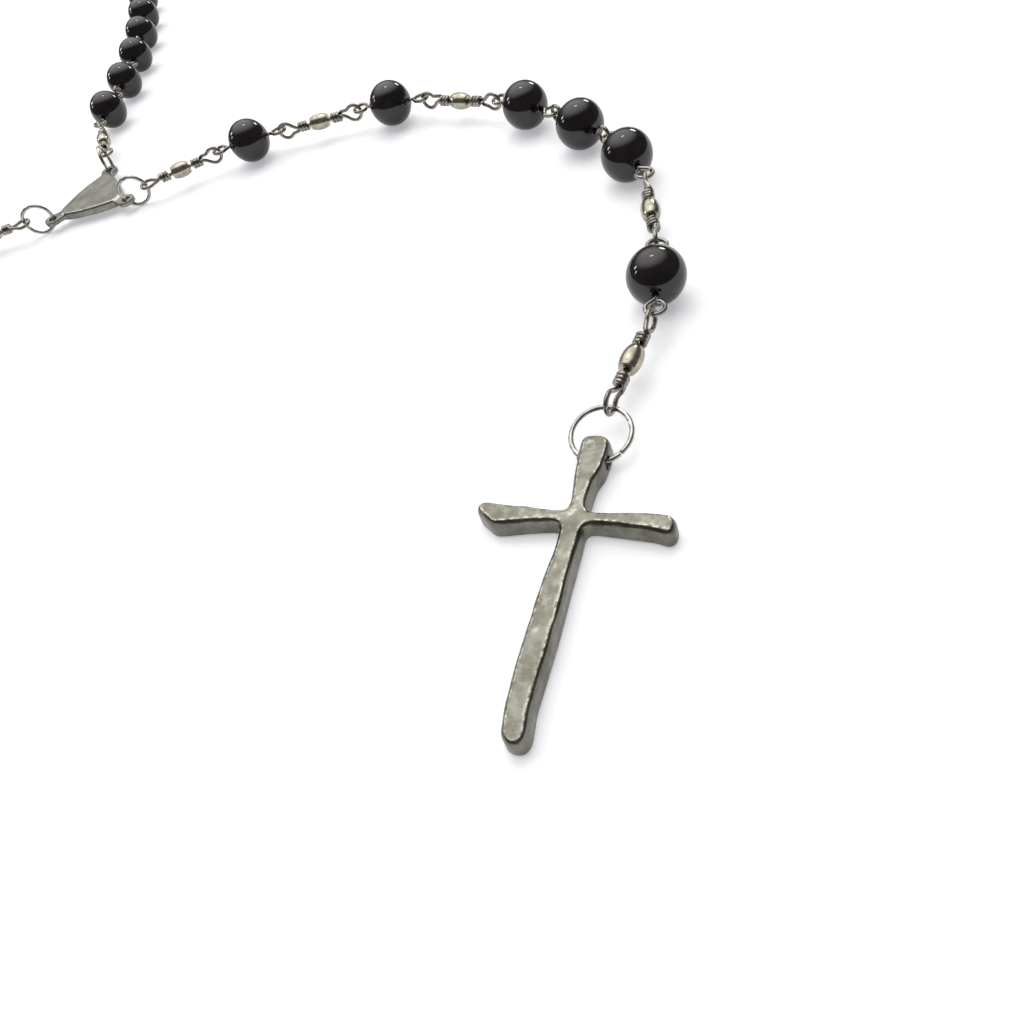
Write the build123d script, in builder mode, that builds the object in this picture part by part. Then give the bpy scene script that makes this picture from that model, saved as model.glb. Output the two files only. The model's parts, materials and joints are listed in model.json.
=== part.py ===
"""A rosary necklace lying flat on a table, its loop spread open and its pendant strand curving to the cross.

Millimetres, +Z up, table at Z = 0. The origin is where the cross's two bars cross, on the cross's flat back.
+Y points up the cross, +X to its right. Wire eyes hook through each other in turn, one lying flat and the
next standing upright, so every piece of the chain is placed by hooking it to the piece before it.
"""
import os
from math import asin, cos, degrees, radians, sin, sqrt

from build123d import *

os.makedirs("parts", exist_ok=True)

# ---- driving dimensions -------------------------------------------------------------------------------------

clearance = 0.05            # free gap between two hooked wires that are pulled tight
bore_clearance = 0.08       # radial gap between a wire and the bead or barrel that turns on it

bead_dia = 8.0              # every bead, round
bead_neck = 0.7             # from a bead's end to the eye beside it
bead_eye_inside = 0.975     # inner radius of the eyes on a bead's pin
wire_dia = 0.65             # wire of the pins and of the links

barrel_length = 3.6
barrel_dia = 2.9
barrel_end_dia = 2.3
coil_turns = 3              # times the wire's end is wrapped round itself on each side of a barrel
coil_gap = 0.6              # between barrel and coil
coil_groove = 0.6           # depth at which neighbouring turns meet, as a share of the wire
link_neck = 1.1             # from a coil to the eye beside it
link_eye_inside = 1.075     # inner radius of a link's eyes
link_drop = 0.45            # a link hangs this far under the bead pins that carry it

cross_top = 12.0            # end of the upper bar, above the crossing
cross_foot = 26.3           # end of the lower bar, below the crossing
cross_left = 11.7           # end of the left bar
cross_right = 11.4          # end of the right bar
cross_thickness = 2.8
cross_edge = 0.35           # chamfer round the front face
cross_corner = 0.55         # rounding of every corner of the outline
# Hammered outline of each bar, going out along it: share of its length, width to its right and to its left.
cross_right_bar = [(0.23, 0.85, 1.1), (0.43, 1.0, 1.2), (0.79, 1.3, 1.35), (0.94, 1.8, 1.25), (1.0, 1.1, 0.3)]
cross_top_bar = [(0.22, 1.25, 0.95), (0.43, 1.4, 1.25), (0.57, 2.1, 1.4), (0.78, 2.3, 1.5), (0.93, 2.2, 1.6),
                 (1.0, 1.3, 1.1)]
cross_left_bar = [(0.23, 1.1, 0.85), (0.47, 1.3, 1.25), (0.66, 1.35, 1.7), (0.78, 1.45, 1.9), (0.95, 1.5, 0.4),
                  (1.0, 0.9, -0.2)]
cross_lower_bar = [(0.15, 1.35, 1.45), (0.34, 1.8, 1.35), (0.53, 2.05, 1.3), (0.7, 2.2, 1.1), (0.84, 2.1, 0.9),
                   (0.96, 1.8, 1.2), (1.0, 0.9, 0.6)]
ring_hole_drop = 3.35       # from the upper bar's end down to the hole for the ring
ring_hole_side = 0.4        # middle of the upper bar's head, to the right of the crossing
ring_hole_reach = 2.15      # from there to past the head's side walls
ring_hole_turn = -5.0       # direction of that hole, degrees from +X
ring_hole_clearance = 0.125  # radial gap between the ring's wire and the hole's middle
ring_hole_flare = 0.9       # how much of the ring's curve the hole's mouths make room for

cross_ring_radius = 3.65    # to the wire's centre
cross_ring_wire = 0.65
cross_ring_drop = 0.65      # its far side hangs this far under the middle of the first link
cross_ring_split_turn = 35.0  # its split, from the hole's direction
ring_split = 5.0            # degrees left open where a ring was bent shut

neck_ring_radius = 2.85
neck_ring_wire = 0.7

neck_ring_turn = 16.0       # turned in from its lug's direction, towards the loop's axis

plate_corner_radius = 8.8   # from the middle of the centrepiece to its corners, before they are rounded
plate_side_radius = 5.4     # from there to the middles of its bulging sides
plate_corner_fillet = 2.2
plate_thickness = 1.6
plate_edge = 0.4            # rounding of its upper edges
plate_height = 1.1          # underside of the plate above the table
lug_reach = 1.0             # from a corner of the plate out to the middle of the lug's hole
lug_radius = 1.75
lug_hole_radius = 0.8
lug_thickness = 1.0
lug_neck = 2.8              # width of the bar that carries a lug

decade_beads = 10
decades = 5
loop_axis = 166.0           # direction in which the loop is laid out, from the centrepiece
loop_end_gap = 1.2          # between the two ends of the opened loop
tight = 0.2                 # slack of a normal hook

# Directions and slack of the pendant strand, from the cross to the centrepiece.
pendant_route = [
    ("link", 80.0, 0.05),
    ("bead", 98.0, 0.05),
    ("link", 105.0, 0.05),
    ("bead", 124.0, 0.05),
    ("bead_upright", 140.0, 0.2),
    ("bead", 151.0, 0.2),
    ("link", 166.0, 0.2),
    ("bead", 184.0, 0.05),
    ("link", 195.0, 0.25),
    ("bead", 202.0, 0.35),
    ("end_link", 214.0, 0.3),
]
pendant_ring_heading = 204.0
neck_link_turn = -38.0      # heading of the loop's first link, from the loop's axis
first_bead_turn = -62.0     # heading of the loop's first bead, from the loop's axis
first_half_turn = 4.5       # turn from each bead to the next in the first half decade
loop_slack = 0.1

# ---- derived sizes ------------------------------------------------------------------------------------------

bead_radius = bead_dia / 2
wire_radius = wire_dia / 2
bead_eye = bead_eye_inside + wire_radius        # to the wire's centre, as every eye below
link_eye = link_eye_inside + wire_radius
bead_half = bead_radius + bead_neck + wire_radius + bead_eye
coil_length = coil_turns * wire_dia
coil_start = barrel_length / 2 + coil_gap
link_half = coil_start + coil_length + link_neck + wire_radius + link_eye
bead_height = bead_radius
link_height = bead_height - link_drop
bore_radius = wire_radius + bore_clearance
plate_middle = plate_height + plate_thickness / 2
lug_distance = plate_corner_radius + lug_reach
cross_ring_far_height = link_height - cross_ring_drop
ring_hole_throat = cross_ring_wire / 2 + ring_hole_clearance
ring_hole_sag = cross_ring_radius - sqrt(cross_ring_radius**2 - ring_hole_reach**2)
ring_hole_mouth = ring_hole_throat + ring_hole_sag * ring_hole_flare
neck_ring_height = neck_ring_radius + neck_ring_wire / 2 + clearance
lug_to_ring = sqrt(neck_ring_radius**2 - (neck_ring_height - plate_middle) ** 2)


# ---- placing one piece after another ------------------------------------------------------------------------

def heading_vector(heading):
    """Level unit vector at an angle in degrees from +X."""
    return Vector(cos(radians(heading)), sin(radians(heading)), 0)


def raised(point, height):
    """The point at another height."""
    return Vector(point.X, point.Y, height)


class Piece:
    """A straight piece of the chain: a middle, a heading, and an eye that lies flat or stands at each end."""

    def __init__(self, kind, middle, heading, half, eye, wire, start_upright, end_upright):
        self.kind = kind
        self.middle = middle
        self.heading = heading
        self.along = heading_vector(heading)
        self.half = half
        self.eye = eye
        self.wire = wire
        self.start_upright = start_upright
        self.end_upright = end_upright
        self.pin_point = None       # centre of the upright wire at the hook to the piece before
        self.loop_point = None      # centre of the flat wire at that hook
        self.hook_heading = heading

    def at(self, distance):
        """Point on the piece's own axis."""
        return self.middle + self.along * distance

    def plane(self):
        """Level plane through the middle, X along the piece."""
        return Plane(origin=self.middle, x_dir=self.along, z_dir=(0, 0, 1))


sizes = {
    "bead": (bead_half, bead_eye, wire_dia, bead_height, False, False),
    "bead_upright": (bead_half, bead_eye, wire_dia, bead_height, True, True),
    "bead_quarter": (bead_half, bead_eye, wire_dia, bead_height, True, False),
    "link": (link_half, link_eye, wire_dia, link_height, True, True),
    "end_link": (link_half, link_eye, wire_dia, link_height, True, False),
    "start_link": (link_half, link_eye, wire_dia, link_height, False, True),
    "ring": (0.0, neck_ring_radius, neck_ring_wire, neck_ring_height, True, True),
}


def hook_reach(upright_eye, height_difference, wires, slack):
    """Level distance between two hooked wires: the flat one passes clear of the upright eye's curve."""
    inner_radius = upright_eye - wires / 2 - clearance
    return upright_eye - sqrt(inner_radius**2 - height_difference**2) + slack


def hook(before, kind, heading, slack):
    """Hook a new piece to the end eye of the piece before it."""
    half, eye, wire, height, start_upright, end_upright = sizes[kind]
    upright_eye = eye if start_upright else before.eye
    reach = hook_reach(upright_eye, height - before.middle.Z, before.wire + wire, slack)
    last_eye = before.at(before.half)
    if start_upright:
        hook_heading = heading
        away = heading_vector(hook_heading)
        flat_wire = last_eye + away * before.eye
        upright_wire = flat_wire - away * reach
        new_eye = upright_wire + away * eye
        flat_height = last_eye.Z
    else:
        hook_heading = before.heading
        away = heading_vector(hook_heading)
        upright_wire = last_eye + away * before.eye
        flat_wire = upright_wire - away * reach
        new_eye = flat_wire + away * eye
        flat_height = height
    middle = raised(new_eye + heading_vector(heading) * half, height)
    piece = Piece(kind, middle, heading, half, eye, wire, start_upright, end_upright)
    piece.pin_point = raised(upright_wire, height)
    piece.loop_point = raised(flat_wire, flat_height)
    piece.hook_heading = hook_heading
    return piece


# ---- where everything lies ----------------------------------------------------------------------------------

ring_hole = Vector(ring_hole_side, cross_top - ring_hole_drop, cross_thickness / 2)
ring_hole_along = heading_vector(ring_hole_turn)
ring_tilt = degrees(asin((cross_ring_far_height - ring_hole.Z) / (2 * cross_ring_radius)))
ring_reach = heading_vector(ring_hole_turn + 90) * cos(radians(ring_tilt)) + Vector(0, 0, sin(radians(ring_tilt)))
cross_ring_middle = ring_hole + ring_reach * cross_ring_radius

first_ring = Piece("ring", raised(cross_ring_middle, cross_ring_far_height), pendant_route[0][1], 0.0,
                   cross_ring_radius * cos(radians(ring_tilt)), cross_ring_wire, False, False)
pendant = []
before = first_ring
for kind, heading, slack in pendant_route:
    before = hook(before, kind, heading, slack)
    pendant.append(before)
pendant_ring = hook(before, "ring", pendant_ring_heading, tight)
pendant_links = [piece for piece in pendant if "link" in piece.kind]
pendant_beads = [piece for piece in pendant if "bead" in piece.kind]

pendant_lug_hole = raised(pendant_ring.at(lug_to_ring), plate_middle)
plate_centre = pendant_lug_hole + heading_vector(loop_axis) * lug_distance


def neck_ring(side):
    """The ring in the lug on one side of the loop's axis: side is -1 or 1."""
    lug_hole = plate_centre + heading_vector(loop_axis + side * 60) * lug_distance
    heading = loop_axis + side * (60 - neck_ring_turn)
    middle = lug_hole + heading_vector(heading) * lug_to_ring
    return Piece("ring", raised(middle, neck_ring_height), heading, 0.0, neck_ring_radius, neck_ring_wire,
                 True, True)


def alternating(count, quarter_last):
    """Kinds of a row of beads whose pins lie flat and stand upright in turn."""
    kinds = ["bead" if index % 2 == 0 else "bead_upright" for index in range(count)]
    if quarter_last:
        kinds[-1] = "bead_quarter"
    return kinds


half_decade = decade_beads // 2
decade_kinds = alternating(decade_beads, True)
strand_sections = [("decade", 0), ("decade", 1), ("father", 0), ("decade", 0), ("decade", 1), ("father", 0),
                   ("decade", 0)]


def section_kinds(section):
    """Kinds of the pieces in one section of the loop."""
    name, part = section
    if name == "father":
        return ["link", "bead", "link"]
    return decade_kinds[part * half_decade:(part + 1) * half_decade]


def loop_side(side, bend):
    """All pieces of one half of the loop, as a list of sections; bend shapes its curve."""
    ring = neck_ring(side)
    link = hook(ring, "start_link", loop_axis + side * -neck_link_turn, tight)
    sections = [[ring], [link]]
    rest = sum(len(section_kinds(section)) for section in strand_sections) - half_decade
    before = link
    count = 0
    last_first_turn = first_bead_turn + first_half_turn * (half_decade - 1)
    for number, section in enumerate(strand_sections):
        pieces = []
        for index, kind in enumerate(section_kinds(section)):
            if number == 0:
                turn = first_bead_turn + first_half_turn * index
            else:
                count += 1
                turn = last_first_turn + (90 - last_first_turn) * (count / rest) ** bend
            before = hook(before, kind, loop_axis - side * turn, loop_slack)
            pieces.append(before)
        sections.append(pieces)
    return sections


def end_offset(bend):
    """How far the loop's right end stops short of the loop's axis."""
    last = loop_side(-1, bend)[-1][-1]
    end = last.at(last.half + last.eye + last.wire / 2)
    across = heading_vector(loop_axis - 90)
    return (end - plate_centre).dot(across) - loop_end_gap / 2


low_bend, high_bend = 0.3, 4.0
for _ in range(40):
    middle_bend = (low_bend + high_bend) / 2
    if end_offset(middle_bend) > 0:
        high_bend = middle_bend
    else:
        low_bend = middle_bend
right_side = loop_side(-1, low_bend)
left_side = loop_side(1, low_bend)


# ---- building the pieces ------------------------------------------------------------------------------------

def upright_plane(point, along):
    """Plane across a level direction, for a wire's round section."""
    return Plane(origin=point, x_dir=(0, 0, 1), z_dir=along)


def turned_solid(piece, outline):
    """Solid turned about the piece's own axis; outline is the edge of half its section, X along the piece."""
    plane = piece.plane()
    with BuildPart() as turned:
        with BuildSketch(plane) as section:
            make_face(outline.edges())
        revolve(section.sketch, axis=Axis(plane.origin, plane.x_dir))
    return turned.part


def bead_at(piece):
    """Round bead with a bore for its pin."""
    end = sqrt(bead_radius**2 - bore_radius**2)
    with BuildLine() as outline:
        ThreePointArc((-end, bore_radius), (0, bead_radius), (end, bore_radius))
        Line((end, bore_radius), (-end, bore_radius))
    return turned_solid(piece, outline)


def barrel_at(piece):
    """Barrel that turns on the middle of a link's wire."""
    half = barrel_length / 2
    end_radius = barrel_end_dia / 2
    with BuildLine() as outline:
        ThreePointArc((-half, end_radius), (0, barrel_dia / 2), (half, end_radius))
        Polyline((half, end_radius), (half, bore_radius), (-half, bore_radius), (-half, end_radius))
    return turned_solid(piece, outline)


def coil_at(piece, side):
    """The wire's end wrapped round itself, as a ridged sleeve on one side of the barrel."""
    pitch = coil_length / coil_turns
    start = coil_start if side > 0 else -coil_start - coil_length
    valley = wire_radius + wire_dia * coil_groove
    peak = wire_radius + wire_dia
    with BuildLine() as outline:
        for turn in range(coil_turns):
            left = start + turn * pitch
            ThreePointArc((left, valley), (left + pitch / 2, peak), (left + pitch, valley))
        Polyline((start + coil_length, valley), (start + coil_length, 0), (start, 0), (start, valley))
    return turned_solid(piece, outline)


def eye_at(piece, side, upright):
    """Eye at one end of a piece: a closed ring of wire, flat or standing."""
    centre = piece.at(side * piece.half)
    across = piece.along.cross(Vector(0, 0, 1))
    axis = across if upright else Vector(0, 0, 1)
    with BuildPart() as eye:
        with Locations(Plane(origin=centre, x_dir=piece.along, z_dir=axis)):
            Torus(piece.eye, piece.wire / 2)
    return eye.part


def wire_at(piece):
    """Pin of a bead, or wire of a link: straight wire, an eye at each end, and a link's two coils."""
    straight = piece.half - piece.eye
    extras = [eye_at(piece, -1, piece.start_upright), eye_at(piece, 1, piece.end_upright)]
    if "link" in piece.kind:
        extras += [coil_at(piece, -1), coil_at(piece, 1)]
    with BuildPart() as wire:
        with BuildSketch(upright_plane(piece.at(-straight), piece.along)):
            Circle(piece.wire / 2)
        extrude(amount=2 * straight)
        add(extras)
    return wire.part


def split_ring(middle, plane_x, plane_normal, radius, wire):
    """Jump ring: round wire bent almost shut; the split starts at the plane's X direction."""
    plane = Plane(origin=middle, x_dir=plane_x, z_dir=plane_normal)
    section_plane = Plane(origin=middle, x_dir=plane_x, z_dir=plane.y_dir)
    with BuildPart() as ring:
        with BuildSketch(section_plane) as section:
            with Locations((radius, 0)):
                Circle(wire / 2)
        revolve(section.sketch, axis=Axis(middle, plane_normal), revolution_arc=360 - ring_split)
    return ring.part


def write(name, solids):
    """Write one node: one solid, or a row of equal separate solids."""
    with BuildPart() as node:
        add(solids)
    node.part.label = name
    export_step(node.part, f"parts/{name}.step")


# Cross: four flared bars cast in one, a slanting end on the left, a hole through the head for the ring.
def cross_outline():
    """Corners of the cross, anticlockwise: out along each bar's right side and back along its left."""
    bars = [(0, cross_right, cross_right_bar), (90, cross_top, cross_top_bar), (180, cross_left, cross_left_bar),
            (270, cross_foot, cross_lower_bar)]
    corners = []
    for number, (heading, length, widths) in enumerate(bars):
        along, aside = heading_vector(heading), heading_vector(heading + 90)
        corners += [along * share * length - aside * right for share, right, left in widths]
        corners += [along * share * length + aside * left for share, right, left in reversed(widths)]
        _, next_right, _ = bars[(number + 1) % len(bars)][2][0]
        corners.append(along * next_right + aside * widths[0][2])       # inner corner before the next bar
    return corners


with BuildPart() as cross:
    with BuildSketch(Plane.XY) as bars:
        with BuildLine():
            Polyline(*cross_outline(), close=True)
        make_face()
        fillet(bars.vertices(), cross_corner)
    extrude(amount=cross_thickness)
    chamfer(cross.faces().sort_by(Axis.Z)[-1].edges(), cross_edge)
    with BuildSketch(Plane(origin=ring_hole, x_dir=ring_hole_along, z_dir=(0, 0, 1))) as hole_section:
        reach, mouth = ring_hole_reach, ring_hole_mouth
        with BuildLine():
            ThreePointArc((-reach, mouth), (0, ring_hole_throat), (reach, mouth))
            Polyline((reach, mouth), (reach, 0), (-reach, 0), (-reach, mouth))
        make_face()
    revolve(hole_section.sketch, axis=Axis(ring_hole, ring_hole_along), mode=Mode.SUBTRACT)
write("cross", cross.part)

# Jump ring in the cross's hole; its split is on the right, beside the hole.
ring_normal = ring_hole_along.cross(ring_reach)
split_turn = radians(cross_ring_split_turn)
split_direction = ring_hole_along * cos(split_turn) - ring_reach * sin(split_turn)
write("cross_ring", split_ring(cross_ring_middle, split_direction, ring_normal, cross_ring_radius,
                               cross_ring_wire))

# Pendant strand.
for number, piece in enumerate(pendant_links, 1):
    write(f"pendant_link_{number}_wire", wire_at(piece))
    write(f"pendant_link_{number}_barrel", barrel_at(piece))
for number, piece in enumerate(pendant_beads, 1):
    write(f"pendant_bead_{number}", bead_at(piece))
    write(f"pendant_bead_{number}_pin", wire_at(piece))


def neck_ring_at(piece):
    """Standing jump ring in a lug, with its split on top."""
    across = piece.along.cross(Vector(0, 0, 1))
    return split_ring(piece.middle, Vector(0, 0, 1), across, piece.eye, piece.wire)


write("pendant_ring", neck_ring_at(pendant_ring))

# Centrepiece: a rounded triangular plate with a lug at each corner.
plate_plane = Plane(origin=raised(plate_centre, plate_height), x_dir=heading_vector(loop_axis + 180),
                    z_dir=(0, 0, 1))
lug_plane = plate_plane.offset((plate_thickness - lug_thickness) / 2)
with BuildPart() as centrepiece:
    with BuildSketch(plate_plane) as plate:
        with BuildLine():
            for turn in (0, 120, 240):
                ends = [heading_vector(turn) * plate_corner_radius, heading_vector(turn + 120) * plate_corner_radius]
                ThreePointArc(ends[0], heading_vector(turn + 60) * plate_side_radius, ends[1])
        make_face()
        fillet(plate.vertices(), plate_corner_fillet)
    extrude(amount=plate_thickness)
    fillet(centrepiece.faces().sort_by(Axis.Z)[-1].edges(), plate_edge)
    with BuildSketch(lug_plane) as lugs:
        with PolarLocations(lug_distance, 3):
            Circle(lug_radius)
        with PolarLocations(lug_distance / 2, 3):
            Rectangle(lug_distance, lug_neck)
        with PolarLocations(lug_distance, 3):
            Circle(lug_hole_radius, mode=Mode.SUBTRACT)
    extrude(amount=lug_thickness)
write("centrepiece", centrepiece.part)

# The loop: ring, link, then decades and Our Father beads up to the opened end on each side.
side_names = {"right": (right_side, ["decade_1a", "decade_1b", "our_father_1", "decade_2a", "decade_2b",
                                     "our_father_2", "decade_3a"]),
              "left": (left_side, ["decade_5b", "decade_5a", "our_father_4", "decade_4b", "decade_4a",
                                   "our_father_3", "decade_3b"])}
for side_name, (sections, names) in side_names.items():
    ring, link = sections[0][0], sections[1][0]
    write(f"neck_ring_{side_name}", neck_ring_at(ring))
    write(f"neck_link_{side_name}_wire", wire_at(link))
    write(f"neck_link_{side_name}_barrel", barrel_at(link))
    for name, pieces in zip(names, sections[2:]):
        beads = [bead_at(piece) for piece in pieces if "bead" in piece.kind]
        pins = [wire_at(piece) for piece in pieces]
        if "father" in name:
            write(f"{name}_bead", beads)
            write(f"{name}_links", pins + [barrel_at(piece) for piece in pieces if "link" in piece.kind])
        else:
            write(f"{name}_beads", beads)
            write(f"{name}_pins", pins)
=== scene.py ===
"""Looks of a rosary: black beads, bent wire pins and links, barrels, the hammered cross and the centrepiece.

Metres, in the frame of the CAD model. Each piece stands for one CAD node. Its middle, the way it points and
how its eyes lie are read from that node's solids, so it lies exactly where the node lies.
"""
import json
import math

import bmesh
import bpy
import numpy as np
from mathutils import Matrix, Vector, noise

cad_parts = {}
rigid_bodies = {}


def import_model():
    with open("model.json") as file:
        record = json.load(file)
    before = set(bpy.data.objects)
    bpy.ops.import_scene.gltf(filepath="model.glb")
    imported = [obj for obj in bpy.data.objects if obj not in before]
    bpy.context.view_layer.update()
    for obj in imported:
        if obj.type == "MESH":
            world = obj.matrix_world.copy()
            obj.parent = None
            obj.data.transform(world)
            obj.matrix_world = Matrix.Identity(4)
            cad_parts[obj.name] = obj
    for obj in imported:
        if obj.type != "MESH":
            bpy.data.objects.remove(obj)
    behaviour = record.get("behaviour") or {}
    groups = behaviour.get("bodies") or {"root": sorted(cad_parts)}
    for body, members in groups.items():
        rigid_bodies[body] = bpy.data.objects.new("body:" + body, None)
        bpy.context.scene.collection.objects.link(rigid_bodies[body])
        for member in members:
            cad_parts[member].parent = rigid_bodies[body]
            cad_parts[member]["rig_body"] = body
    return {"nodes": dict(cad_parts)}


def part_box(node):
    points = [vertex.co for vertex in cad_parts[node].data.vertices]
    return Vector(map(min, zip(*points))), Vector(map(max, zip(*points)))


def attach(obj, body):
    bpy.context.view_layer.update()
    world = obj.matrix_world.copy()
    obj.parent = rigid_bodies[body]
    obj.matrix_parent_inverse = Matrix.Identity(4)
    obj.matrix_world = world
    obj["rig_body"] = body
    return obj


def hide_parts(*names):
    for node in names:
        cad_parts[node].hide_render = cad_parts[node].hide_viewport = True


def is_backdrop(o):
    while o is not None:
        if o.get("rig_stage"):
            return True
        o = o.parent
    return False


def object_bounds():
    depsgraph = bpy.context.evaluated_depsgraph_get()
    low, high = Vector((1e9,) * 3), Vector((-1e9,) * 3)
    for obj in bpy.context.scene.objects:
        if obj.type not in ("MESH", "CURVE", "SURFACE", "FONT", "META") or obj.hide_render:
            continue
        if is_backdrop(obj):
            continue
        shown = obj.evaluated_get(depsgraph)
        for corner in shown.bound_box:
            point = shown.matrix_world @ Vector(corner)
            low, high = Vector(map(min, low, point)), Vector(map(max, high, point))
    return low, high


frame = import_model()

cad_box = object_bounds()
mm = 0.001
rng = np.random.default_rng(7)

# ---- sizes that the CAD model doesn't hold ---------------------------------------------------------------

wire_sides = 12
lathe_steps = 48
eye_steps = 30
bend_steps = 9
coil_steps = 16                 # per turn
ring_steps = 72
cut_bevel = 0.2                 # bevel of a wire's cut ends, as a share of its radius
bend_grip = 0.38                # how far a bend holds its first direction, as a share of its length
bore_gap = 0.08 * mm            # between a wire and the bore it runs in
bead_lip = 0.16 * mm            # rounding where a bead's bore comes out
barrel_lip = 0.18 * mm          # rounding of a barrel's ends
lip_step = 0.3                  # where a rounded lip has its middle point, as a share of the lip
barrel_swell = 2.4              # power of a barrel's curve: higher is squarer
pin_bend = 0.75 * mm            # length over which a pin bends off into its eye
pin_leaves = 142.0              # where a pin's wire joins its eye's circle, degrees from the eye's far side
pin_closes = -166.0             # where it ends again
link_leaves = 134.0             # the same for a link, whose wire leaves and comes back alike
coil_gap = 0.5 * mm             # between a barrel and the coil beside it
coil_turns = 2.9
coil_pitch = 0.96               # from turn to turn, as a share of the wire
coil_first = -35.0              # where round the wire a coil starts, degrees from the top
eye_zone = 2.6 * mm             # the stretch at a solid's end that holds only its eye
eye_tilt = 4.0                  # degrees that an eye may be turned out of its plane
eye_uneven = 0.02               # share by which an eye may be out of round
ring_gap = 4.0                  # degrees between the two ends of a jump ring
split_step = 0.1 * mm           # sideways step between them
split_spring = 9                # power by which that step fades round the ring

outline_spacing = 0.08 * mm     # between points of the cross's eased outline
outline_rounds = 60             # times that outline is smoothed
cross_voxel = 0.15 * mm
top_shoulder = (0.7 * mm, 1.2 * mm)         # rounding of the cross's upper edge: along the table, up the wall
bottom_shoulder = (0.3 * mm, 0.45 * mm)
shoulder_reach = (0.45 * mm, 0.6 * mm)      # shift of a point at which it starts, and stops, to be left alone
hammer_marks = [(3.6, 0.1, 0), (1.5, 0.05, 5), (0.7, 0.014, 9)]     # width and height in mm, noise offset
hammer_depth = 0.08 * mm
crossing_dip = 0.28 * mm        # how far the face sinks where the bars cross
crossing_width = 2.4 * mm
dimple_place = (-0.15 * mm, -1.75 * mm)     # from the crossing's middle line, and from the upper bar's end
dimple_radius = 0.62 * mm
dimple_depth = 0.1 * mm
dimple_rim = 0.045 * mm

centrepiece_voxel = 0.16 * mm
centrepiece_rounds = 5
centrepiece_marks = [(3.2, 0.06, 3), (1.1, 0.015, 11)]
crest_tilt = 22.0               # slope of a cast piece's surface, in degrees, where its crest is painted lightest, as painted highlight and rubbed wear
crest_spread = 8.0
sharp_edge = 50.0               # degrees between two faces past which their edge isn't shaded smooth

floor_half = 6.0
floor_drop = 0.02 * mm
ceiling_azimuth, ceiling_elevation = 122.0, 60.0
ceiling_edge, ceiling_core = 54.0, 12.0     # degrees from its middle: faded away, and starting to fade
ceiling_colour = (2.15, 2.15, 2.08)
room_colour = (0.15, 0.14, 0.145)
camera_place = (25.99 * mm, -50.26 * mm, 74.34 * mm)
camera_azimuth, camera_pitch, camera_roll = 123.3, 50.0, 23.36
camera_sensor, camera_lens = 36.0, 29.43


# ---- reading the CAD solids ------------------------------------------------------------------------------

def welded_mesh(node):
    """Points and triangles of a CAD node, with points at the same place made one."""
    mesh = frame["nodes"][node].data
    mesh.calc_loop_triangles()
    points = np.array([v.co for v in mesh.vertices])
    triangles = np.array([t.vertices for t in mesh.loop_triangles])
    _, first, same = np.unique(np.round(points * 1e7), axis=0, return_index=True, return_inverse=True)
    return points[first], same.ravel()[triangles]


def split_solids(node):
    """The separate solids in a CAD node, each as its points and triangles."""
    points, triangles = welded_mesh(node)
    label = np.arange(len(points))
    while True:
        lowest = np.repeat(label[triangles].min(axis=1), 3)
        joined = label.copy()
        np.minimum.at(joined, triangles.ravel(), lowest)
        joined = joined[joined]
        if (joined == label).all():
            break
        label = joined
    for number in np.unique(label):
        chosen = triangles[label[triangles[:, 0]] == number]
        if len(chosen):
            yield points, chosen


def unit(vector):
    return vector / np.linalg.norm(vector)


class Solid:
    """One long solid that lies level: its middle, the way it points and how far it reaches each way."""

    def __init__(self, points, triangles):
        corners = points[triangles]
        self.points = points[np.unique(triangles)]
        crosses = np.cross(corners[:, 1] - corners[:, 0], corners[:, 2] - corners[:, 0])
        self.areas = np.linalg.norm(crosses, axis=1)
        self.face_normals = crosses / self.areas[:, None]
        self.faces = corners.mean(axis=1)
        centre = np.average(self.faces, axis=0, weights=self.areas)
        spread = (self.faces - centre)[:, :2]
        axis = np.linalg.eigh((spread * self.areas[:, None]).T @ spread)[1][:, 1]
        ahead = spread @ axis > 0
        axis = (np.average(spread[ahead], axis=0, weights=self.areas[ahead])
                - np.average(spread[~ahead], axis=0, weights=self.areas[~ahead]))
        self.along = unit(np.append(axis, 0.0))
        self.across = np.cross((0, 0, 1), self.along)
        distance = (self.points - centre) @ self.along
        self.middle = centre + self.along * (distance.max() + distance.min()) / 2
        self.reach = (distance.max() - distance.min()) / 2

    def eye(self, side):
        """Whether the eye at one end stands upright, and its full width."""
        offset = self.points - self.middle
        end = offset[offset @ self.along * side > self.reach - eye_zone]
        width = np.ptp(end @ self.across)
        height = np.ptp(end[:, 2])
        return height > width, max(height, width)

    def place(self, points):
        """Points given along, across and above the middle, in the frame."""
        return self.middle + points @ np.array([self.along, self.across, (0, 0, 1)])


def solids(node):
    return [Solid(points, triangles) for points, triangles in split_solids(node)]


class Ring:
    """One jump ring: its middle, its axis, the way to its split, its radius and its wire."""

    def __init__(self, node):
        solid = solids(node)[0]
        faces, areas = solid.faces, solid.areas
        centre = np.average(faces, axis=0, weights=areas)
        spread = faces - centre
        axes = np.linalg.eigh((spread * areas[:, None]).T @ spread)[1]
        self.normal = axes[:, 0]
        flat = spread @ axes[:, 1:]
        equations = np.column_stack([2 * flat, np.ones(len(flat))]) * np.sqrt(areas)[:, None]
        answer = np.linalg.lstsq(equations, (flat**2).sum(axis=1) * np.sqrt(areas), rcond=None)[0]
        self.middle = centre + axes[:, 1:] @ answer[:2]
        distance = np.linalg.norm((solid.points - self.middle) @ axes[:, 1:], axis=1)
        ahead = np.cross(self.normal, faces - self.middle)
        ahead /= np.linalg.norm(ahead, axis=1)[:, None]
        cut = np.abs((solid.face_normals * ahead).sum(axis=1)) > 0.95       # the wire's two cut ends
        self.to_split = unit(np.average(faces[cut], axis=0, weights=areas[cut]) - self.middle)
        self.radius = (distance.max() + distance.min()) / 2
        self.wire = distance.max() - distance.min()


# ---- forms -----------------------------------------------------------------------------------------------

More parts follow.
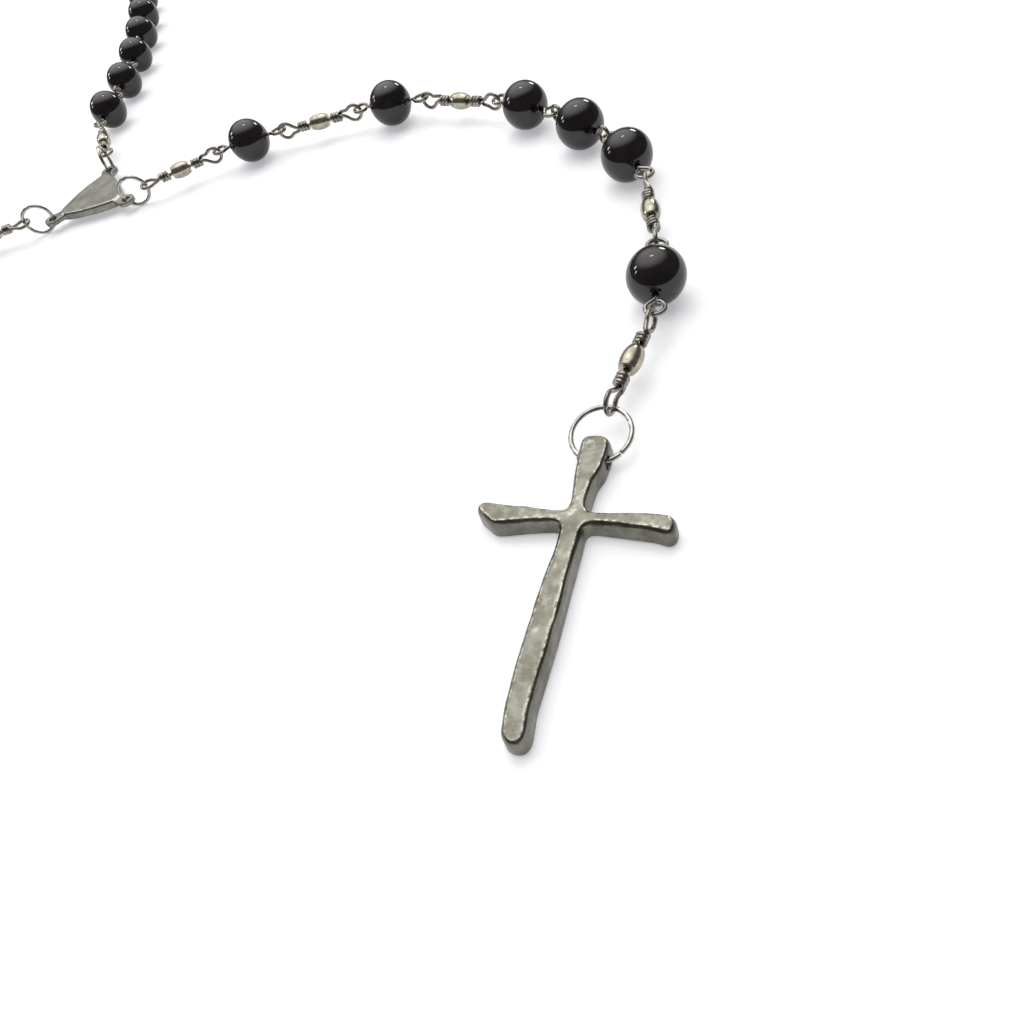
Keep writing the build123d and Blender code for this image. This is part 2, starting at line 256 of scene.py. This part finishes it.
def tube(path, radius, sides=wire_sides):
    """Round wire along a path, its two cut ends slightly rounded."""
    path = np.asarray(path)
    ahead = np.gradient(path, axis=0)
    ahead /= np.linalg.norm(ahead, axis=1)[:, None]
    normal = unit(np.cross(ahead[0], (0.31, 0.53, 0.79)))
    normals = []
    for way in ahead:
        normal = unit(normal - way * (normal @ way))
        normals.append(normal)
    normals = np.array(normals)
    others = np.cross(ahead, normals)
    bevel = radius * cut_bevel
    path = np.vstack([path[0] - ahead[0] * bevel, path, path[-1] + ahead[-1] * bevel])
    normals = normals[[0, *range(len(normals)), -1]]
    others = others[[0, *range(len(others)), -1]]
    radii = np.full(len(path), radius)
    radii[[0, -1]] -= bevel
    turn = np.arange(sides) * 2 * math.pi / sides
    circle = np.cos(turn)[:, None] * normals[:, None] + np.sin(turn)[:, None] * others[:, None]
    points = (path[:, None] + circle * radii[:, None, None]).reshape(-1, 3)
    faces = ring_faces(len(path), sides, closed=False)
    faces += [list(range(sides))[::-1], list(range(len(points) - sides, len(points)))]
    return points, faces


def ring_faces(rings, sides, closed):
    """Quads between neighbouring rings of points; closed joins the last ring to the first."""
    faces = []
    for ring in range(rings if closed else rings - 1):
        low, high = ring * sides, (ring + 1) % rings * sides
        for side in range(sides):
            after = (side + 1) % sides
            faces.append([low + side, low + after, high + after, high + side])
    return faces


def lathe(profile, steps=lathe_steps):
    """A closed profile of points (along, radius), turned about the long axis."""
    turn = np.arange(steps) * 2 * math.pi / steps
    points = [[along, radius * math.cos(a), radius * math.sin(a)] for along, radius in profile for a in turn]
    return np.array(points), ring_faces(len(profile), steps, closed=True)


def bored_profile(outside, bore, lip):
    """Profile of a turned body with a bore: outside runs from its left end to its right end."""
    end = outside[-1][0]
    inner = [(end - lip * lip_step, bore + lip * lip_step), (end - lip, bore)]
    return [(-x, r) for x, r in inner[::-1]] + list(outside) + inner + [(0, bore)]


def bead_form(radius, bore):
    """Round bead, its bore's mouths rounded."""
    first = math.asin((bore + bead_lip) / radius)
    angles = np.linspace(math.pi - first, first, 30)
    outside = [(radius * math.cos(a), radius * math.sin(a)) for a in angles]
    return lathe(bored_profile(outside, bore, bead_lip))


def barrel_form(reach, radius, end_radius, bore):
    """Barrel: a shallow swell that ends in small rounded shoulders."""
    share = np.linspace(-1, 1, 22)
    swell = end_radius + (radius - end_radius) * (1 - np.abs(share) ** barrel_swell)
    outside = list(zip(share * (reach - barrel_lip), swell))
    step = barrel_lip * lip_step
    shoulder = [(reach - step, end_radius - step), (reach, end_radius - barrel_lip)]
    outside = [(-x, r) for x, r in shoulder[::-1]] + outside + shoulder
    return lathe(bored_profile(outside, bore, barrel_lip))


def bend(start, start_way, end, end_way):
    """Points on a smooth bend from start towards end; the end itself is left out."""
    grip = np.linalg.norm(end - start) * bend_grip
    handles = [start, start + unit(start_way) * grip, end - unit(end_way) * grip, end]
    share = (np.arange(bend_steps) / bend_steps)[:, None]
    weights = [(1 - share)**3, 3 * share * (1 - share)**2, 3 * share**2 * (1 - share), share**3]
    return sum(weight * handle for weight, handle in zip(weights, handles))


def eye_circle(half, eye, first, last):
    """Wire round an eye, from one angle to another, measured from the eye's far side."""
    angle = np.radians(np.linspace(first, last, eye_steps))
    return np.column_stack([half + eye * np.cos(angle), eye * np.sin(angle), np.zeros(eye_steps)])


def pin_end(half, eye):
    """Half of a bead's pin: straight out of the bead, then round its eye until it closes."""
    circle = eye_circle(half, eye, pin_leaves, pin_closes)
    start = np.array([half - eye - pin_bend, 0, 0])
    return np.vstack([bend(start, (1, 0, 0), circle[0], circle[1] - circle[0]), circle])


def link_end(half, eye, wire, barrel_reach):
    """Half of a link: out of the barrel, round a drop-shaped eye, then wrapped back over itself."""
    inside = barrel_reach + coil_gap
    outside = inside + (coil_turns * coil_pitch + 1) * wire
    circle = eye_circle(half, eye, link_leaves, -link_leaves)
    start = np.array([outside - wire / 2, 0, 0])
    out = bend(start, (1, 0, 0), circle[0], circle[1] - circle[0])
    turn = np.linspace(0, 2 * math.pi * coil_turns, int(coil_turns * coil_steps))
    angle = turn + math.radians(coil_first)
    coil = np.column_stack([outside - wire / 2 - coil_pitch * wire * turn / (2 * math.pi),
                            wire * np.sin(angle), wire * np.cos(angle)])
    back = bend(circle[-1], circle[-1] - circle[-2], coil[0], coil[1] - coil[0])
    return np.vstack([out, circle[:-1], back, coil])


def wire_path(solid, wire, barrel_reach=None):
    """The whole wire of a pin or a link in the frame, from the end of one eye to the end of the other."""
    ends = []
    for side in (-1, 1):
        upright, width = solid.eye(side)
        eye = (width - wire) / 2
        half = solid.reach - wire / 2 - eye
        if barrel_reach is None:
            path = pin_end(half, eye)
        else:
            path = link_end(half, eye, wire, barrel_reach)
        path[:, 1] *= rng.choice((-1, 1)) * (1 + rng.uniform(-eye_uneven, eye_uneven))
        tilt = math.radians(rng.uniform(-eye_tilt, eye_tilt) + (90 if upright else 0))
        level = path[:, 1] * math.cos(tilt) - path[:, 2] * math.sin(tilt)
        above = path[:, 1] * math.sin(tilt) + path[:, 2] * math.cos(tilt)
        ends.append(np.column_stack([path[:, 0] * side, level, above]))
    return solid.place(np.vstack([ends[0][::-1], ends[1]]))


def ring_form(ring):
    """Jump ring bent from round wire, its two ends meeting a little out of line."""
    gap = math.radians(ring_gap)
    turn = np.linspace(gap / 2, 2 * math.pi - gap / 2, ring_steps)
    other = np.cross(ring.normal, ring.to_split)
    step = (np.cos(turn / 2) ** split_spring * split_step / 2)[:, None] * ring.normal
    path = ring.middle + ring.radius * (np.cos(turn)[:, None] * ring.to_split + np.sin(turn)[:, None] * other)
    return tube(path + step, ring.wire / 2)


# ---- cast pieces -----------------------------------------------------------------------------------------

def even_mesh(node, voxel):
    """Points and faces of a CAD node, rebuilt from small even faces."""
    points, triangles = welded_mesh(node)
    mesh = bpy.data.meshes.new("even")
    mesh.from_pydata((points / mm).tolist(), [], triangles.tolist())
    draft = bpy.data.objects.new("even", mesh)
    bpy.context.scene.collection.objects.link(draft)
    modifier = draft.modifiers.new("even", "REMESH")
    modifier.mode = "VOXEL"
    modifier.voxel_size = voxel / mm
    bpy.context.view_layer.update()
    result = draft.evaluated_get(bpy.context.evaluated_depsgraph_get()).to_mesh()
    points = np.array([v.co for v in result.vertices]) * mm
    faces = [list(p.vertices) for p in result.polygons]
    bpy.data.objects.remove(draft)
    return points, faces


def relaxed(points, faces, rounds):
    """Points moved towards the middle of their neighbours, to ease corners."""
    quads = np.array([face[:4] for face in faces if len(face) == 4])
    pairs = np.vstack([quads[:, [k, (k + 1) % 4]] for k in range(4)])
    count = np.bincount(pairs.ravel(), minlength=len(points))[:, None]
    for _ in range(rounds):
        total = np.zeros_like(points)
        np.add.at(total, pairs[:, 0], points[pairs[:, 1]])
        np.add.at(total, pairs[:, 1], points[pairs[:, 0]])
        points = (points + total / count) / 2
    return points


def back_outline(node, spacing, rounds):
    """Edge of a node's flat back as evenly spaced points, anticlockwise, with its corners eased."""
    points, triangles = welded_mesh(node)
    back = triangles[(points[triangles][:, :, 2] < points[:, 2].min() + 1e-6).all(axis=1)]
    edges = np.vstack([back[:, [0, 1]], back[:, [1, 2]], back[:, [2, 0]]])
    edge_set = set(map(tuple, edges.tolist()))
    following = {a: b for a, b in edge_set if (b, a) not in edge_set}
    order = [min(following)]
    while following[order[-1]] != order[0]:
        order.append(following[order[-1]])
    loop = points[order][:, :2]
    closed = np.vstack([loop, loop[:1]])
    length = np.append(0, np.cumsum(np.linalg.norm(np.diff(closed, axis=0), axis=1)))
    steps = np.arange(0, length[-1], spacing)
    loop = np.column_stack([np.interp(steps, length, closed[:, k]) for k in (0, 1)])
    for _ in range(rounds):
        loop = loop / 2 + (np.roll(loop, 1, axis=0) + np.roll(loop, -1, axis=0)) / 4
    ahead = np.roll(loop, -1, axis=0) - np.roll(loop, 1, axis=0)
    area = (loop[:, 0] * np.roll(loop[:, 1], -1) - loop[:, 1] * np.roll(loop[:, 0], -1)).sum()
    inward = np.column_stack([-ahead[:, 1], ahead[:, 0]]) * math.copysign(1, area)
    return loop, inward / np.linalg.norm(inward, axis=1)[:, None]


def soft_noise(points, size, offset=0.0):
    """Smooth noise from -1 to 1, with bumps of about the given size."""
    return np.array([noise.noise(Vector(p) / size + Vector((offset, 0, 0))) for p in points])


def uneven(points, marks):
    """Height of overlaid soft marks at each point."""
    return sum(soft_noise(points, width * mm, offset) * height for width, height, offset in marks) * mm


def surface_normals(points, faces):
    """Unit normal at each point."""
    mesh = bpy.data.meshes.new("normals")
    mesh.from_pydata(points.tolist(), [], faces)
    return np.array([n.vector for n in mesh.vertex_normals])


def round_shoulders(points, thickness, loop, inward):
    """Points with the cross's upper and lower edges rounded, and how far each one is kept as it was.

    Depth is measured in from the outline. The walls of the ring's hole would move far, so they stay.
    """
    nearest = np.concatenate([((chunk[:, None, :2] - loop) ** 2).sum(axis=2).argmin(axis=1)
                              for chunk in np.array_split(points, 40)])
    normal = inward[nearest]
    depth = ((points[:, :2] - loop[nearest]) * normal).sum(axis=1)
    height = points[:, 2]

    top = height > thickness / 2
    level, rise = (np.where(top, *sizes) for sizes in zip(top_shoulder, bottom_shoulder))
    past = np.where(top, height - (thickness - rise), rise - height)
    before = level - depth
    stretch = np.hypot(np.maximum(before, 0) / level, np.maximum(past, 0) / rise)
    stretch = np.maximum(stretch, 1e-9)
    in_corner = (before > 0) & (past > 0)
    on_face = (past > 0) & ~in_corner
    on_wall = (before > 0) & ~in_corner
    new_depth = np.where(in_corner, level - before / stretch, np.where(on_wall, 0, depth))
    new_past = np.where(in_corner, past / stretch, np.where(on_face, rise, past))
    new_height = np.where(top, thickness - rise + new_past, rise - new_past)
    shift = np.hypot(new_depth - depth, new_height - height)
    first, last = shoulder_reach
    keep = np.clip((shift - first) / (last - first), 0, 1)
    new_depth = new_depth * (1 - keep) + depth * keep
    new_height = new_height * (1 - keep) + height * keep
    level_points = points[:, :2] + (new_depth - depth)[:, None] * normal
    return np.column_stack([level_points, new_height]), keep


def cross_form():
    """The cross: an eased outline, rounded shoulders, a flat back and a hammered front."""
    high = np.array(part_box("cross")[1])
    thickness = high[2]
    points, faces = even_mesh("cross", cross_voxel)
    points, keep = round_shoulders(points, thickness, *back_outline("cross", outline_spacing, outline_rounds))
    points = relaxed(points, faces, 2)

    share = points[:, 2] / thickness
    lift = np.clip(share * 2.2 - 0.35, 0, 1) * (1 - keep)       # marks fade out down the walls
    dents = uneven(points, hammer_marks) - hammer_depth
    crossing = np.exp(-(points[:, :2] ** 2).sum(axis=1) / crossing_width**2) * -crossing_dip
    points += surface_normals(points, faces) * (dents * lift)[:, None]
    points[:, 2] += crossing * np.clip(points[:, 2] / thickness, 0, 1)
    dimple = np.array([dimple_place[0], high[1] + dimple_place[1]])
    distance = np.linalg.norm((points[:, :2] - dimple) / dimple_radius, axis=1)
    crater = np.exp(-distance**2 * 2) * -dimple_depth + np.exp(-(distance - 1.1) ** 2 * 8) * dimple_rim
    points[:, 2] += crater * np.clip(points[:, 2] / thickness * 4 - 3, 0, 1)
    points = clear_of_ring(points, Ring("cross_ring"))
    points[:, 2] = np.maximum(points[:, 2], 0)
    return points, faces


def clear_of_ring(points, ring):
    """Points that lie too near a jump ring's wire, moved away from it."""
    offset = points - ring.middle
    level = offset - (offset @ ring.normal)[:, None] * ring.normal
    nearest = ring.middle + level / np.linalg.norm(level, axis=1)[:, None] * ring.radius
    away = points - nearest
    distance = np.linalg.norm(away, axis=1)[:, None]
    room = ring.wire / 2 + bore_gap
    return np.where(distance < room, nearest + away / distance * room, points)


def crest_highlight_and_wear(points, faces):
    """How much each point is painted lighter, from 0 to 1, as painted highlight and rubbed wear: most where
    the surface turns over from the top to the sides.
    """
    slope = np.degrees(np.arccos(np.clip(surface_normals(points, faces)[:, 2], -1, 1)))
    return np.exp(-((slope - crest_tilt) / crest_spread) ** 2)


def centrepiece_form():
    """The centrepiece: the CAD plate with every edge eased and its faces slightly uneven."""
    points, faces = even_mesh("centrepiece", centrepiece_voxel)
    points = relaxed(points, faces, centrepiece_rounds)
    low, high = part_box("centrepiece")
    middle = (low.z + high.z) / 2
    points[:, 2] += uneven(points, centrepiece_marks) * np.sign(points[:, 2] - middle)
    return points, faces


# ---- materials -------------------------------------------------------------------------------------------

class Paint:
    """One material's node tree, built on a Principled shader."""

    def __init__(self, name):
        self.material = bpy.data.materials.new(name)
        self.material.use_nodes = True
        self.tree = self.material.node_tree
        self.shader = self.tree.nodes["Principled BSDF"]
        self.place = self.add("ShaderNodeTexCoord").outputs["Object"]

    def add(self, kind, inputs=None, **settings):
        node = self.tree.nodes.new(kind)
        for key, value in settings.items():
            setattr(node, key, value)
        for key, value in (inputs or {}).items():
            if isinstance(value, bpy.types.NodeSocket):
                self.tree.links.new(value, node.inputs[key])
            else:
                node.inputs[key].default_value = value
        return node

    def noise(self, size, detail=3.0, roughness=0.5, stretch=None):
        """Noise with features of about the given size."""
        place = self.place
        if stretch:
            place = self.add("ShaderNodeMapping", {"Vector": place, "Scale": stretch}).outputs["Vector"]
        inputs = {"Vector": place, "Scale": 1 / size, "Detail": detail, "Roughness": roughness}
        return self.add("ShaderNodeTexNoise", inputs).outputs["Fac"]

    def between(self, factor, low, high, start=0.35, end=0.65):
        """A number that follows a noise from low to high."""
        inputs = {"Value": factor, "From Min": start, "From Max": end, "To Min": low, "To Max": high}
        return self.add("ShaderNodeMapRange", inputs, interpolation_type="SMOOTHSTEP").outputs["Result"]

    def blend(self, factor, first, second):
        """A colour that goes from first to second with a factor from 0 to 1."""
        node = self.add("ShaderNodeMix", data_type="RGBA")
        self.tree.links.new(factor, node.inputs["Factor"])
        for slot, colour in ((6, first), (7, second)):
            if isinstance(colour, bpy.types.NodeSocket):
                self.tree.links.new(colour, node.inputs[slot])
            else:
                node.inputs[slot].default_value = (*colour, 1)
        return node.outputs[2]

    def bump(self, height, distance, strength=1.0, normal=None):
        inputs = {"Height": height, "Distance": distance, "Strength": strength}
        if normal is not None:
            inputs["Normal"] = normal
        return self.add("ShaderNodeBump", inputs).outputs["Normal"]

    def set(self, **values):
        """Set the shader's inputs; an underscore in a name stands for a space."""
        for key, value in values.items():
            socket = self.shader.inputs[key.replace("_", " ")]
            if isinstance(value, bpy.types.NodeSocket):
                self.tree.links.new(value, socket)
            else:
                socket.default_value = value
        return self.material


def bead_paint():
    """Black glass with a faint purple-brown tint and the finest scratches."""
    paint = Paint("black_bead")
    tint = paint.between(paint.noise(2.6 * mm, 4), 0, 1)
    colour = paint.blend(tint, (0.0035, 0.0028, 0.0036), (0.013, 0.0075, 0.0095))
    roughness = paint.between(paint.noise(0.7 * mm, 5, 0.6), 0.045, 0.13, 0.3, 0.8)
    normal = paint.bump(paint.noise(1.2 * mm, 2), 0.004 * mm, 0.6)
    return paint.set(Base_Color=colour, Roughness=roughness, Normal=normal, IOR=1.54)


def metal_paint(name, bright, dark, smooth, rough, size, grain, depth, highlight_and_wear_colour=None):
    """Worn metal: two tones in soft patches, uneven gloss, a fine cast or drawn grain, and crests painted
    lighter as painted highlight and rubbed wear.
    """
    paint = Paint(name)
    patches = paint.between(paint.noise(size, 4, 0.6), 0, 1)
    colour = paint.blend(patches, dark, bright)
    specks = paint.between(paint.noise(grain * 1.7, 2), 0, 1, 0.62, 0.74)
    colour = paint.blend(specks, colour, tuple(tone * 0.55 for tone in dark))
    if highlight_and_wear_colour:
        # Painted highlight: crests are painted a lighter colour for the bright line that light makes where
        # the top turns to the sides, and for rubbed metal.
        crest = paint.add("ShaderNodeAttribute", attribute_name="highlight_and_wear").outputs["Fac"]
        ragged = paint.between(paint.noise(0.55 * mm, 3, 0.6), 0.1, 1.0, 0.38, 0.62)
        highlight_and_rubbing = paint.add("ShaderNodeMath", {0: crest, 1: ragged}, operation="MULTIPLY").outputs[0]
        colour = paint.blend(highlight_and_rubbing, colour, highlight_and_wear_colour)
    roughness = paint.between(paint.noise(size * 0.6, 5, 0.65), smooth, rough)
    fine = paint.bump(paint.noise(grain, 3, 0.6), depth, 0.5)
    normal = paint.bump(paint.noise(size * 0.5, 3), depth * 4, 0.4, fine)
    return paint.set(Base_Color=colour, Metallic=1.0, Roughness=roughness, Normal=normal)


paints = {
    "black_bead": bead_paint(),
    # The last colour of each cast metal is the painted highlight on its crests, which also stands for rubbed
    # wear.
    "cast_cross": metal_paint("cast_cross", (0.2, 0.196, 0.165), (0.13, 0.124, 0.102), 0.2, 0.34,
                              2.2 * mm, 0.16 * mm, 0.005 * mm, (0.8, 0.77, 0.69)),
    "cast_centre": metal_paint("cast_centre", (0.26, 0.255, 0.225), (0.19, 0.185, 0.16), 0.26, 0.4,
                               1.8 * mm, 0.14 * mm, 0.005 * mm, (0.6, 0.58, 0.52)),
    "barrel_metal": metal_paint("barrel_metal", (0.46, 0.43, 0.35), (0.3, 0.275, 0.215), 0.13, 0.26,
                                1.2 * mm, 0.1 * mm, 0.003 * mm),
    "ring_wire": metal_paint("ring_wire", (0.5, 0.49, 0.46), (0.33, 0.32, 0.29), 0.1, 0.22,
                             1.5 * mm, 0.08 * mm, 0.002 * mm),
    "chain_wire": metal_paint("chain_wire", (0.36, 0.34, 0.3), (0.2, 0.185, 0.155), 0.14, 0.28,
                              1.0 * mm, 0.08 * mm, 0.003 * mm),
}


# ---- making the pieces -----------------------------------------------------------------------------------

def make_piece(node, forms, slot, highlight_and_wear=None):
    """One object from one or more forms, standing for a CAD node and moving with its body."""
    points, faces, start = [], [], 0
    for form_points, form_faces in forms:
        points += np.asarray(form_points).tolist()
        faces += [[index + start for index in face] for face in form_faces]
        start = len(points)
    mesh = bpy.data.meshes.new(node + "_look")
    mesh.from_pydata(points, [], faces)
    tidy = bmesh.new()
    tidy.from_mesh(mesh)
    bmesh.ops.recalc_face_normals(tidy, faces=tidy.faces)
    tidy.to_mesh(mesh)
    tidy.free()
    mesh.shade_smooth()
    mesh.set_sharp_from_angle(angle=math.radians(sharp_edge))
    mesh.materials.append(paints[slot])
    # Share of painted highlight and rubbed wear at each point, read by the paint.
    if highlight_and_wear is not None:
        mesh.attributes.new("highlight_and_wear", "FLOAT", "POINT").data.foreach_set("value", highlight_and_wear.astype(np.float32))
    piece = bpy.data.objects.new(node + "_look", mesh)
    bpy.context.scene.collection.objects.link(piece)
    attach(piece, frame["nodes"][node]["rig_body"])
    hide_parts(node)
    return piece


nodes = sorted(frame["nodes"])
bead_nodes = [n for n in nodes if n.endswith(("_bead", "_beads")) or n[:-1] == "pendant_bead_"]
barrel_nodes = [n for n in nodes if n.endswith("_barrel")]
ring_nodes = [n for n in nodes if "ring" in n]
cast_nodes = ["cross", "centrepiece"]
wire_nodes = [n for n in nodes if n not in bead_nodes + barrel_nodes + ring_nodes + cast_nodes]

bead_radius = (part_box("pendant_bead_1")[1].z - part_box("pendant_bead_1")[0].z) / 2
pin = solids("pendant_bead_1_pin")[0]
wire_dia = np.ptp(pin.points[:, 2])
bore = wire_dia / 2 + bore_gap
barrel = solids("pendant_link_1_barrel")[0]
barrel_radius = np.ptp(barrel.points[:, 2]) / 2
barrel_offset = barrel.points - barrel.middle
barrel_end = np.abs(barrel_offset @ barrel.along) > barrel.reach - 0.01 * mm
barrel_end_radius = (barrel_offset[barrel_end] @ barrel.across).max()
link_reach = solids("pendant_link_1_wire")[0].reach

pins = []
for node in wire_nodes:
    forms = []
    for solid in solids(node):
        if solid.reach < barrel.reach * 1.1:
            points, faces = barrel_form(solid.reach, barrel_radius, barrel_end_radius, bore)
            forms.append((solid.place(points), faces))
        elif solid.reach > (pin.reach + link_reach) / 2:
            forms.append(tube(wire_path(solid, wire_dia, barrel.reach), wire_dia / 2))
        else:
            forms.append(tube(wire_path(solid, wire_dia), wire_dia / 2))
            pins.append(solid)
    make_piece(node, forms, "chain_wire")

for node in barrel_nodes:
    solid = solids(node)[0]
    points, faces = barrel_form(solid.reach, barrel_radius, barrel_end_radius, bore)
    make_piece(node, [(solid.place(points), faces)], "barrel_metal")

for node in bead_nodes:
    forms = []
    for points, triangles in split_solids(node):
        used = points[np.unique(triangles)]
        middle = (used.max(axis=0) + used.min(axis=0)) / 2
        own_pin = min(pins, key=lambda solid: np.linalg.norm(solid.middle - middle))
        points, faces = bead_form(bead_radius, bore)
        forms.append((own_pin.place(points), faces))
    make_piece(node, forms, "black_bead")

for node in ring_nodes:
    make_piece(node, [ring_form(Ring(node))], "ring_wire")

for node, form, slot in (("cross", cross_form(), "cast_cross"),
                         ("centrepiece", centrepiece_form(), "cast_centre")):
    # Crests of the cast pieces get a lighter painted highlight, which also stands for rubbed wear.
    make_piece(node, [form], slot, crest_highlight_and_wear(*form))


# ---- floor, light and camera -----------------------------------------------------------------------------

def direction(azimuth, elevation):
    """Unit vector towards a point on the sky, in degrees from +X and above the floor."""
    azimuth, elevation = math.radians(azimuth), math.radians(elevation)
    return Vector((math.cos(azimuth) * math.cos(elevation), math.sin(azimuth) * math.cos(elevation),
                   math.sin(elevation)))


def add_floor():
    """Plain white table, far larger than the view."""
    mesh = bpy.data.meshes.new("floor")
    corners = [(x * floor_half, y * floor_half, 0) for x, y in ((-1, -1), (1, -1), (1, 1), (-1, 1))]
    mesh.from_pydata(corners, [], [(0, 1, 2, 3)])
    floor = bpy.data.objects.new("floor", mesh)
    floor.location.z = -floor_drop
    bpy.context.scene.collection.objects.link(floor)
    paint = Paint("white_table")
    paint.set(Base_Color=(0.86, 0.865, 0.88, 1), Roughness=0.75, Specular_IOR_Level=0.2,
              Emission_Color=(0.95, 0.96, 1.0, 1), Emission_Strength=0.38)
    mesh.materials.append(paint.material)
    floor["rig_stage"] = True


def add_light(name, azimuth, elevation, width, height, radiance, colour, distance=2.0):
    """Rectangular light at a place on the sky, facing the rosary; radiance is how bright its face looks."""
    data = bpy.data.lights.new(name, "AREA")
    data.shape = "RECTANGLE"
    data.size, data.size_y = width, height
    data.energy = radiance * math.pi * width * height
    data.color = colour
    light = bpy.data.objects.new(name, data)
    towards = direction(azimuth, elevation)
    light.location = towards * distance
    light.rotation_euler = towards.to_track_quat("Z", "Y").to_euler()
    bpy.context.scene.collection.objects.link(light)


def add_camera():
    """Camera close above the cross, looking along the pendant strand, tilted to one side."""
    camera_data = bpy.data.cameras.new("camera")
    camera_data.sensor_width = camera_sensor
    camera_data.lens = camera_lens
    camera_data.clip_start = 5 * mm
    camera = bpy.data.objects.new("camera", camera_data)
    azimuth, roll = math.radians(camera_azimuth), math.radians(camera_roll)
    ahead = direction(camera_azimuth, -camera_pitch)
    level_right = Vector((math.sin(azimuth), -math.cos(azimuth), 0))
    level_up = level_right.cross(ahead)
    right = level_right * math.cos(roll) - level_up * math.sin(roll)
    up = level_right * math.sin(roll) + level_up * math.cos(roll)
    matrix = Matrix((right, up, -ahead)).transposed().to_4x4()
    matrix.translation = camera_place
    camera.matrix_world = matrix
    bpy.context.scene.collection.objects.link(camera)
    bpy.context.scene.camera = camera


def add_room():
    """Dim room with a soft bright patch of ceiling, overhead and a little beyond the rosary."""
    world = bpy.data.worlds.new("room")
    world.use_nodes = True
    tree = world.node_tree
    place = tree.nodes.new("ShaderNodeTexCoord")
    facing = tree.nodes.new("ShaderNodeVectorMath")
    facing.operation = "DOT_PRODUCT"
    facing.inputs[1].default_value = direction(ceiling_azimuth, ceiling_elevation)
    tree.links.new(place.outputs["Generated"], facing.inputs[0])
    patch = tree.nodes.new("ShaderNodeMapRange")
    patch.interpolation_type = "SMOOTHSTEP"
    patch.inputs["From Min"].default_value = math.cos(math.radians(ceiling_edge))
    patch.inputs["From Max"].default_value = math.cos(math.radians(ceiling_core))
    tree.links.new(facing.outputs["Value"], patch.inputs["Value"])
    mix = tree.nodes.new("ShaderNodeMix")
    mix.data_type = "RGBA"
    mix.inputs[6].default_value = (*room_colour, 1)
    mix.inputs[7].default_value = (*ceiling_colour, 1)
    tree.links.new(patch.outputs["Result"], mix.inputs["Factor"])
    tree.links.new(mix.outputs[2], tree.nodes["Background"].inputs["Color"])
    bpy.context.scene.world = world


add_floor()
add_room()
add_light("lamp", 112, 62, 0.32, 0.16, 11.0, (1.0, 0.99, 0.96))
add_light("far_window", 84, 21, 0.36, 0.26, 13.0, (0.95, 0.98, 1.0))
add_light("left_window", 171, 23, 0.17, 0.34, 13.0, (0.95, 0.98, 1.0))
add_light("left_window_2", 186, 21, 0.17, 0.3, 8.0, (0.95, 0.98, 1.0))
add_camera()
bpy.context.scene.view_settings.view_transform = "Standard"

boxes = {"cad": cad_box, "visual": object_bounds()}
boxes = {name: [list(corner) for corner in box] for name, box in boxes.items()}
